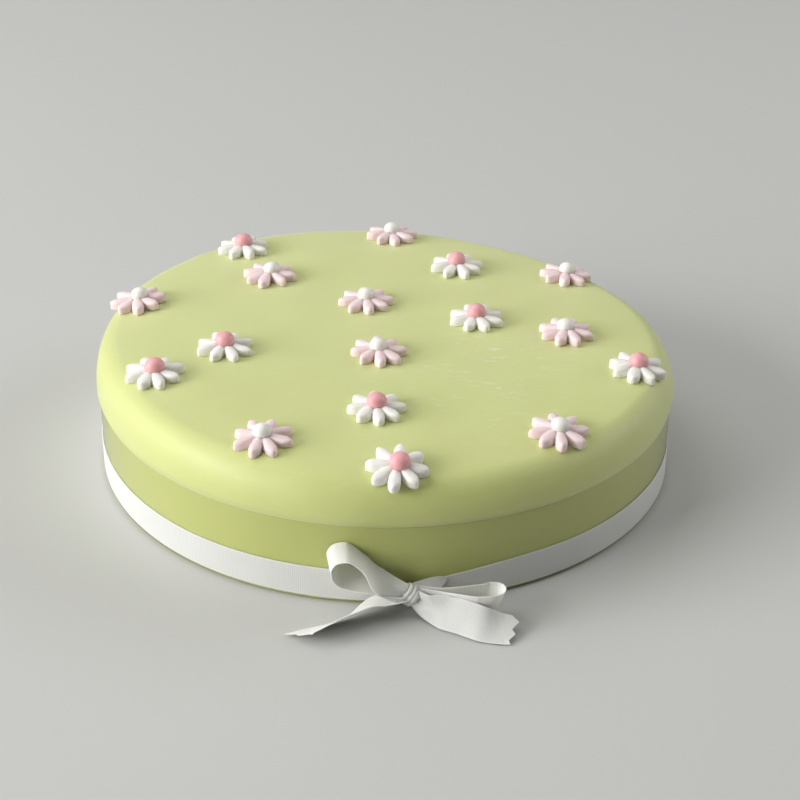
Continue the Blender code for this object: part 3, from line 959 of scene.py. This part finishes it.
    def woven(self, run: ndarray, shares: ndarray) -> tuple[dict[str, ndarray], ndarray]:
        """Read the weave along and across the ribbon.

        Args:
            run: Distance along the ribbon for each row.
            shares: Place across it for each column.

        Returns:
            How deep in a groove, which also sets the painted shade there, and how much selvedge, which also
            sets the painted highlight there, by name, and how far the cords stand out of the edges, all for
            rows and columns.
        """
        # How deep in a groove; the same share also sets the painted shade in the grooves.
        groove_and_shade = 0.5 - 0.5 * np.cos(2 * pi * run / self.rib)
        # The selvedge at each edge; the same share sets the painted highlight there and how far the cords
        # stand out.
        edge = 1 - ease(0.0, 0.05, np.minimum(shares, 1 - shares))
        grooves = groove_and_shade[:, None] * np.ones_like(shares)
        edges = edge * np.ones_like(run)[:, None]
        beads = (1 - grooves) * edges * self.bead * np.sign(shares - 0.5)
        return {"groove_and_shade": grooves, "selvedge_and_highlight": edges}, beads

    def shell(self, middle: ndarray, face: ndarray, weave: dict[str, ndarray], ring: bool) -> Skin:
        """Give a sheet its thickness, with the ribs on both faces.

        Args:
            middle: Points of the sheet, as rows, columns and three coordinates.
            face: The direction out of the sheet for each row.
            weave: How deep in a groove and how much selvedge each point is; these also carry the painted
                shade and the painted highlight.
            ring: Whether the last row joins the first.

        Returns:
            The closed skin.
        """
        rows, columns = middle.shape[:2]
        half = (self.cake.ribbon / 2 - self.rib_depth * weave["groove_and_shade"])[:, :, None]
        face = face[:, None]
        both = np.concatenate((middle + face * half, (middle - face * half)[:, ::-1]), axis=1)
        faces = tube_faces(rows, 2 * columns, ring)
        if not ring:
            for row in (0, rows - 1):
                start = row * 2 * columns
                for column in range(columns - 1):
                    under = 2 * columns - 1 - column
                    faces.append((start + column, start + column + 1, start + under - 1, start + under))
        kept = {name: np.concatenate((row, row[:, ::-1]), axis=1).ravel() for name, row in weave.items()}
        return Skin(both.reshape(-1, 3), faces, kept)

    def laid(self, length: Length) -> Skin:
        """Lay a length of ribbon through its stations.

        Args:
            length: The stations and how the length is cut and creased.

        Returns:
            Its skin.
        """
        stations = np.array(length.stations)
        middle, across, width = stations[:, :3] * MM, unit(stations[:, 3:6]), stations[:, 6:] * MM
        knots = np.concatenate(([0.0], np.cumsum(np.linalg.norm(np.diff(middle, axis=0), axis=1))))
        rows = int(round(knots[-1] / self.rib * self.points_to_a_rib)) + 1
        run = np.linspace(0.0, knots[-1], rows)
        middle = smooth_through(middle, knots, run)
        along = unit(np.gradient(middle, run, axis=0))
        across = smooth_through(across, knots, run)
        across = unit(across - (across * along).sum(axis=1, keepdims=True) * along)
        width = np.minimum(smooth_through(width, knots, run), self.width)
        face = np.cross(along, across)
        shares = self.shares(length.cut)
        weave, beads = self.woven(run, shares)
        side = (shares - 0.5) * width + beads
        out = np.interp(shares, *zip(*length.cut)) * MM
        crease = np.zeros_like(side)
        for share, depth, wide, reach in length.creases:
            near = ease(reach * MM, 0.0, run)
            if length.both_ends:
                near = near + ease(reach * MM, 0.0, knots[-1] - run)
            crease = crease + depth * MM * near[:, None] * np.exp(-(((shares - share) / wide) ** 2))
        hollow = length.arch * (1 - (2 * shares - 1) ** 2) * ease(0.0, self.arch_reach, run)[:, None]
        grow = ease(knots[-1] - self.cut_reach, knots[-1], run)[:, None]
        points = (
            middle[:, None]
            + across[:, None] * side[:, :, None]
            + face[:, None] * (crease + hollow)[:, :, None]
            + along[:, None] * (out * grow)[:, :, None]
        )
        return self.shell(points, face, weave, False)

    def band(self) -> Skin:
        """Lay the band round the cake, its upper edge drawn down where the knot gathers it.

        Returns:
            Its skin.
        """
        form = self.cake
        radius = form.band_radius - form.ribbon / 2 - self.snug
        ribs_round = round(2 * pi * radius / self.rib)
        steps = ribs_round * self.points_to_a_rib
        turns = full_turn(steps)
        shares = np.array(self.band_shares)
        weave, beads = self.woven(turns / (2 * pi) * ribs_round * self.rib, shares)
        angle = np.degrees(np.arctan2(np.sin(turns), np.cos(turns)))
        knots, drops = np.array(self.pinch).T
        drops = drops[:, None] * MM
        inside = (angle > knots[0]) & (angle < knots[-1])
        drop = np.where(inside, smooth_through(drops, knots, np.clip(angle, knots[0], knots[-1]))[:, 0], 0.0)
        tall = self.width - np.maximum(drop, 0.0)
        z = self.foot + tall[:, None] * shares + beads
        points = form.uneven(turned(radius, turns[:, None], z))
        return self.shell(points, turned(1.0, turns, 0.0), weave, True)

    def knot(self) -> Skin:
        """Roll the knot: the ribbon in folds, pulled tight round the bow.

        Returns:
            Its skin.
        """
        along, around = self.knot_mesh
        place = np.linspace(-0.995, 0.995, along)
        turns = full_turn(around)
        # The folds wander a little along the knot as they go round it.
        u = place[:, None] + 0.07 * np.sin(turns + 0.6) + 0.02 * np.sin(3 * turns)
        u = np.clip(u, -0.999, 0.999)
        bounds = np.array([-1.0, *(end for end, _ in self.knot_folds)])
        lower = np.array([below for _, below in self.knot_folds]) * MM
        index = np.clip(np.searchsorted(bounds, u, side="right") - 1, 0, len(bounds) - 2)
        x = 2 * (u - bounds[index]) / (bounds[index + 1] - bounds[index]) - 1
        fold = np.sqrt(np.clip(1 - np.abs(x) ** 3, 0.0, 1.0))
        # One more crease in the widest fold, round ends, and the cords of the ribbon's edge.
        crease = 0.45 * MM * np.exp(-(((u - 0.28 - 0.1 * np.cos(turns)) / 0.07) ** 2))
        barrel = (1 - np.abs(place[:, None]) ** 5) ** 0.5
        groove_and_shade = 0.5 - 0.5 * np.cos(turns * self.knot_ribs)
        bead = self.bead * 1.6 * (1 - groove_and_shade) * np.exp(-(((u - 0.8) / 0.09) ** 2))
        radius = barrel * (self.knot_radius - lower[index] - self.fold_depth * (1 - fold) - crease + bead)
        radius = radius + 0.25 * MM * barrel * np.sin(2 * turns + 1.0) - self.rib_depth * barrel * groove_and_shade
        points = turned(radius, turns, self.knot_half_length * place[:, None])
        lay = (
            Matrix.Translation(self.knot_middle)
            @ Matrix.Diagonal((1.0, self.knot_flatten, 1.0, 1.0))
            @ Matrix.Rotation(pi / 2 + radians(self.knot_tilt), 4, "Y")
        )
        # Painted shade in the grooves between the knot's ribs; the knot has no painted highlight on a
        # selvedge.
        shaded = (0.6 * groove_and_shade * np.ones_like(radius)).ravel()
        values = {"groove_and_shade": shaded, "selvedge_and_highlight": np.zeros(radius.size)}
        return Skin(carried(points.reshape(-1, 3), lay), tube_faces(along, around, False, True), values)

    def build(self, finish: Grosgrain) -> Object:
        """Build the ribbon.

        Args:
            finish: The ribbon's finish.

        Returns:
            The ribbon's piece.
        """
        skin = self.band()
        gathers, loops = (self.left_gather, self.right_gather), (self.left_loop, self.right_loop)
        for length in (*gathers, *loops, self.left_tail, self.right_tail):
            skin = skin.joined(self.laid(length))
        skin = skin.joined(self.knot())
        mesh = skin.mesh("tied_ribbon", 55)
        made = piece("tied_ribbon", mesh, [finish.material()], "ribbon_cloth", "ribbon")
        return made


# ---- the daisies
class Sugar(Enum):
    """The two kinds of daisy, by the colour of their petals."""

    WHITE = "white"
    PINK = "pink"

    @property
    def pearl(self) -> str:
        """The record's slot for the pearl that it carries."""
        return "pink_pearl" if self is Sugar.WHITE else "white_pearl"


@dataclass(frozen=True)
class Daisy:
    """Where one daisy lies, from the middle of the cake."""

    x: float  # mm
    y: float  # mm
    sugar: Sugar
    turn: float  # degrees
    slip: float = 0.0  # mm, how far to the right of its middle the pearl sits


DAISIES = (
    Daisy(-79.7, 97.8, Sugar.WHITE, 22.5, 0.4),
    Daisy(-62.7, 60.8, Sugar.PINK, -9.0, 1.3),
    Daisy(1.4, 122.2, Sugar.PINK, 11.0),
    Daisy(37.1, 79.7, Sugar.WHITE, 17.5, -0.5),
    Daisy(95.0, 74.8, Sugar.PINK, -6.0, 0.8),
    Daisy(-127.7, 27.1, Sugar.PINK, 9.0, 1.5),
    Daisy(-78.4, -25.7, Sugar.WHITE, 24.5),
    Daisy(-109.9, -53.3, Sugar.WHITE, 22.5, 1.1),
    Daisy(-11.0, 31.5, Sugar.PINK, 8.0),
    Daisy(-3.7, -25.7, Sugar.PINK, 5.0),
    Daisy(45.2, 14.5, Sugar.WHITE, 21.0),
    Daisy(89.9, 1.3, Sugar.PINK, 25.0, -0.5),
    Daisy(121.2, -34.9, Sugar.WHITE, -14.5, 0.4),
    Daisy(-3.7, -82.3, Sugar.WHITE, 7.0),
    Daisy(-54.1, -110.3, Sugar.PINK, 28.0),
    Daisy(6.3, -130.6, Sugar.WHITE, -5.0, 0.8),
    Daisy(78.9, -97.3, Sugar.PINK, 7.0, 0.6),
)


@dataclass(frozen=True)
class SugarDaisies:
    """Sugar daisies pressed in a mould, each with a pearl, laid on the icing."""

    cake: IcedCake
    petals: int = 8
    reach: float = 13.9 * MM
    # One petal, from its root to its tip: (distance from the middle, half width, height of its ridge), mm
    sections: tuple[Triple, ...] = (
        (3.0, 1.75, 3.9),
        (4.6, 2.05, 4.2),
        (6.5, 2.5, 4.15),
        (8.6, 2.78, 3.95),
        (10.4, 2.85, 3.8),
        (12.2, 2.2, 3.6),
        (13.3, 1.45, 3.3),
        (14.0, 0.7, 2.85),
    )
    side: float = 0.5  # below 1 the flanks stand up steeply
    crown: float = 0.48  # below 1 the top is flat and rounds over late
    hub_radius: float = 4.8 * MM
    hub_height: float = 3.4 * MM
    voxel: float = 0.34 * MM  # how finely the petals and the hub are run together
    spread: Triple = (0.025, 0.055, 0.045)  # how much petals differ in length, width and height
    petal_turn: float = 1.6  # degrees, how much they stray from even angles
    pearl_foot: float = 1.45 * MM  # from a daisy's underside to its pearl's lowest point
    pearl_flatten: float = 0.86
    pearl_radii: tuple[tuple[str, float], ...] = (("pink_pearl", 4.75 * MM), ("white_pearl", 4.3 * MM))
    slope_step: float = 8.0 * MM  # how far from its middle a daisy feels the slope of the icing
    pressed: float = 0.08 * MM  # how far the feet of the petals go into the icing
    foot_height: float = 1.2 * MM  # the part of a petal that gives to follow the icing
    most_given: float = 0.9 * MM  # how far it gives at most

    def petal(self, long: float, wide: float, high: float) -> Skin:
        """Draw one petal along +X.

        Args:
            long: Its length, against the usual.
            wide: Its width, against the usual.
            high: Its height, against the usual.

        Returns:
            Its closed skin.
        """
        rows = np.array(self.sections) * MM
        knots = rows[:, 0]
        places = np.linspace(knots[0], knots[-1], 20)
        read = smooth_through(rows[:, 1:], knots, places)
        places = knots[0] + (places - knots[0]) * (self.reach * long - knots[0]) / (self.reach - knots[0])
        turns = np.linspace(0, pi, 17)
        spread = np.sign(np.cos(turns)) * np.abs(np.cos(turns)) ** self.side
        rise = np.abs(np.sin(turns)) ** self.crown + 0.05 * (1 - np.abs(spread)) ** 2
        half, ridge = read[:, :1] * wide, read[:, 1:] * high
        points = np.stack(np.broadcast_arrays(places[:, None], half * spread, ridge * rise), axis=-1)
        return Skin(points.reshape(-1, 3), tube_faces(len(places), len(turns), False, True))

    def flower(self, name: str, rng: np.random.Generator) -> Mesh:
        """Press one flower: eight petals and a hub, run together as in a mould.

        Args:
            name: The name for its mesh.
            rng: Seeded numbers for its small irregularities.

        Returns:
            Its mesh, with its foot on z = 0.
        """
        work = bmesh.new()
        wide, high = self.hub_radius, self.hub_height
        bmesh.ops.create_cone(
            work, cap_ends=True, segments=32, radius1=wide, radius2=wide * 0.9, depth=high
        )
        bmesh.ops.translate(work, verts=work.verts, vec=(0.0, 0.0, high / 2))
        for number in range(self.petals):
            skin = self.petal(*(1 + rng.normal(size=3) * self.spread))
            angle = 2 * pi * number / self.petals + rng.normal() * radians(self.petal_turn)
            turn = Matrix.Rotation(angle, 3, "Z")
            own = [work.verts.new(turn @ Vector(point)) for point in skin.points]
            for face in skin.faces:
                work.faces.new([own[i] for i in face])
        bmesh.ops.recalc_face_normals(work, faces=work.faces)
        rough = bpy.data.meshes.new(name + "_rough")
        work.to_mesh(rough)
        work.free()
        thing = put(name + "_rough", rough)
        merge = thing.modifiers.new("merge", "REMESH")
        merge.mode = "VOXEL"
        merge.voxel_size = self.voxel
        soften = thing.modifiers.new("soften", "SMOOTH")
        soften.factor = 0.5
        soften.iterations = 3
        bpy.context.view_layer.update()
        graph = bpy.context.evaluated_depsgraph_get()
        mesh = bpy.data.meshes.new_from_object(thing.evaluated_get(graph))
        mesh.name = name
        bpy.data.objects.remove(thing, do_unlink=True)
        bpy.data.meshes.remove(rough)
        return mesh

    def place(self, daisy: Daisy) -> Matrix:
        """Find where a daisy rests, leaning as the icing under it does.

        Args:
            daisy: The daisy.

        Returns:
            The matrix from the flower's own frame to the cake's.
        """
        x, y, step = daisy.x * MM, daisy.y * MM, self.slope_step
        level = self.cake.top_height
        slope_x = float(level(x + step, y) - level(x - step, y)) / (2 * step)
        slope_y = float(level(x, y + step) - level(x, y - step)) / (2 * step)
        upright = Vector((-slope_x, -slope_y, 1.0)).normalized()
        lean = Vector((0, 0, 1)).rotation_difference(upright).to_matrix().to_4x4()
        angles = full_turn(16)
        rise = 0.0
        for ring in (0.35, 0.7, 1.0):
            dx, dy = ring * self.reach * np.cos(angles), ring * self.reach * np.sin(angles)
            plane = float(level(x, y)) + slope_x * dx + slope_y * dy
            rise = max(rise, float((level(x + dx, y + dy) - plane).max()))
        middle = Vector((x, y, float(level(x, y)) + rise)) + upright * self.cake.gap
        return Matrix.Translation(middle) @ lean @ Matrix.Rotation(radians(daisy.turn), 4, "Z")

    def settle(self, mesh: Mesh, place: Matrix) -> None:
        """Move a flower to its place and let the feet of its petals down onto the icing.

        Args:
            mesh: The flower, in its own frame.
            place: Where it rests.
        """
        points = np.empty(len(mesh.vertices) * 3)
        mesh.vertices.foreach_get("co", points)
        points = points.reshape(-1, 3)
        low = 1 - ease(0.0, self.foot_height, points[:, 2])
        points[:, 2] = np.maximum(points[:, 2], 0.0)
        moved = carried(points, place)
        foot = moved - np.array(place.to_3x3() @ Vector((0, 0, 1))) * points[:, 2:]
        clear = foot[:, 2] - self.cake.surface_height(foot[:, 0], foot[:, 1]) + self.pressed
        moved[:, 2] -= np.minimum(clear, self.most_given) * low
        mesh.vertices.foreach_set("co", moved.ravel())
        mesh.update()

    def pearl(self, name: str, radius: float, place: Matrix, seed: int) -> Mesh:
        """Roll one pearl, pressed a little flat and not quite round.

        Args:
            name: The name for its mesh.
            radius: Half its width.
            place: Where its daisy rests.
            seed: For its unevenness.

        Returns:
            Its mesh, in the cake's frame.
        """
        work = bmesh.new()
        bmesh.ops.create_icosphere(work, subdivisions=5, radius=1.0)
        points = np.array([vertex.co for vertex in work.verts])
        # On a ball of radius 1: a few broad waves, and a top that is a little flatter than round.
        uneven = HandWork(seed=seed, depth=0.010, shortest=0.9, longest=2.6, count=8).at(points)
        height = np.where(points[:, 2] > 0, points[:, 2] * (1 - 0.03 * points[:, 2] ** 2), points[:, 2])
        points = np.column_stack((points[:, :2], height)) * (1 + uneven)[:, None] * radius
        points[:, 2] = points[:, 2] * self.pearl_flatten + self.pearl_foot + radius * self.pearl_flatten
        for vertex, point in zip(work.verts, carried(points, place)):
            vertex.co = point
        mesh = bpy.data.meshes.new(name)
        work.to_mesh(mesh)
        work.free()
        mesh.shade_smooth()
        return mesh

    def build(self, paste: dict[Sugar, SugarFinish], pearls: dict[str, SugarFinish]) -> None:
        """Build every daisy.

        Args:
            paste: The finish of each kind of petals.
            pearls: The finish of each kind of pearl.
        """
        petal_materials = {sugar: finish.material() for sugar, finish in paste.items()}
        pearl_materials = {slot: finish.material() for slot, finish in pearls.items()}
        radii = dict(self.pearl_radii)
        for number, daisy in enumerate(DAISIES, start=1):
            name = f"daisy_{number:02d}"
            place = self.place(daisy)
            mesh = self.flower(name + "_flower", np.random.default_rng(100 + number))
            self.settle(mesh, place)
            mesh.shade_smooth()
            material = petal_materials[daisy.sugar]
            piece(name + "_flower", mesh, [material], daisy.sugar.value + "_sugar", name + "_petals")
            slot = daisy.sugar.pearl
            seat = Matrix.Translation((daisy.slip * MM, 0.0, 0.0)) @ place
            bead = self.pearl(name + "_bead", radii[slot], seat, number)
            piece(name + "_bead", bead, [pearl_materials[slot]], slot, name + "_pearl")


# ---- the studio
@dataclass(frozen=True)
class SoftLight:
    """A large, soft lamp that looks at the cake."""

    name: str
    bearing: float  # degrees from +X, seen from above
    elevation: float  # degrees above the floor
    size: tuple[float, float]
    watts: float
    away: float = 2.6
    aim: Triple = (0.0, 0.0, 0.04)

    def hang(self) -> None:
        """Put the lamp in the scene."""
        lamp = bpy.data.lights.new(self.name, "AREA")
        lamp.shape = "RECTANGLE"
        lamp.size, lamp.size_y = self.size
        lamp.energy = self.watts
        turn, rise = radians(self.bearing), radians(self.elevation)
        out = Vector((cos(turn) * cos(rise), sin(turn) * cos(rise), sin(rise)))
        made = put(self.name, lamp)
        made.location = Vector(self.aim) + out * self.away
        made.rotation_euler = (-out).to_track_quat("-Z", "Y").to_euler()
        made.visible_camera = False


@dataclass(frozen=True)
class Studio:
    """The floor, the light and the camera."""

    floor_side: float = 3.6
    focal: float = 80.5  # mm, on a sensor 36 mm wide
    camera_at: Triple = (0.0071, -0.8044, 0.4597)
    pitch: float = 28.30  # degrees down
    roll: float = 0.55  # degrees
    room: str = "C4C5C5"
    room_strength: float = 0.02  # the light that the room itself throws on the cake
    backdrop_strength: float = 1.05  # the room as the camera sees it, beyond the floor
    lamps: tuple[SoftLight, ...] = (
        SoftLight("softbox", 156.0, 54.0, (2.4, 2.0), 29.0),
        SoftLight("low_softbox", 201.0, 20.0, (2.2, 1.2), 82.0),
        SoftLight("far_side", 14.0, 28.0, (1.8, 1.2), 27.0),
        SoftLight("back", 92.0, 36.0, (2.0, 1.0), 5.5),
        SoftLight("ceiling", 270.0, 80.0, (1.8, 1.8), 10.0),
    )

    def floor(self, finish: StudioPaper) -> None:
        """Lay the floor, a sheet of paper that doesn't belong to the cake.

        Args:
            finish: The paper's finish.
        """
        work = bmesh.new()
        bmesh.ops.create_grid(work, x_segments=4, y_segments=4, size=self.floor_side / 2)
        mesh = bpy.data.meshes.new("floor")
        work.to_mesh(mesh)
        work.free()
        made = put("floor", mesh)
        mesh.materials.append(finish.material())

    def light(self) -> None:
        """Hang the lamps and dim the room."""
        for lamp in self.lamps:
            lamp.hang()
        world = bpy.data.worlds.new("room")
        add = emptied(world)
        dim = add("Background", {"Color": linear(self.room), "Strength": self.room_strength})
        pale = add("Background", {"Color": linear(self.room), "Strength": self.backdrop_strength})
        seen = add("LightPath", output="Is Camera Ray")
        both = add("MixShader", {0: seen, 1: dim, 2: pale})
        add("OutputWorld", {"Surface": both})
        bpy.context.scene.world = world
        bpy.context.scene.view_settings.view_transform = "Standard"

    def camera(self) -> None:
        """Set up the camera as the photograph was taken."""
        down, roll = radians(self.pitch), radians(self.roll)
        forward = Vector((0, cos(down), -sin(down)))
        right, up = Vector((1, 0, 0)), Vector((0, sin(down), cos(down)))
        tilted = right * cos(roll) + up * sin(roll)
        over = up * cos(roll) - right * sin(roll)
        lens = bpy.data.cameras.new("camera")
        lens.lens = self.focal
        lens.sensor_width = 36
        lens.clip_start = 0.01
        made = put("camera", lens)
        turn = Matrix((tilted, over, -forward)).transposed()
        made.matrix_world = Matrix.Translation(self.camera_at) @ turn.to_4x4()
        bpy.context.scene.camera = made


def main() -> None:
    """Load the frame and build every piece."""
    logging.basicConfig(level=logging.INFO, format="%(name)s %(message)s")
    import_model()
    studio = Studio()
    studio.camera()
    studio.floor(StudioPaper())
    studio.light()
    cake = IcedCake()
    cake.build(RolledMarzipan())
    FilmCollar(cake).build(ClearFilm())
    TiedRibbon(cake).build(Grosgrain())
    SugarDaisies(cake).build(
        {
            Sugar.WHITE: SugarFinish("white sugar paste", "F0EEE8", "EAE8E0", 0.5),
            Sugar.PINK: SugarFinish("pale pink sugar paste", "EFDDDC", "EAD3D3", 0.5),
        },
        {
            "pink_pearl": SugarFinish("pink sugar pearl", "EEB4B7", "E7A7AB", 0.42, grain_depth=0.02 * MM),
            "white_pearl": SugarFinish("white sugar pearl", "F0EEE8", "E9E5DD", 0.42, grain_depth=0.02 * MM),
        },
    )


if __name__ == "__main__":
    main()
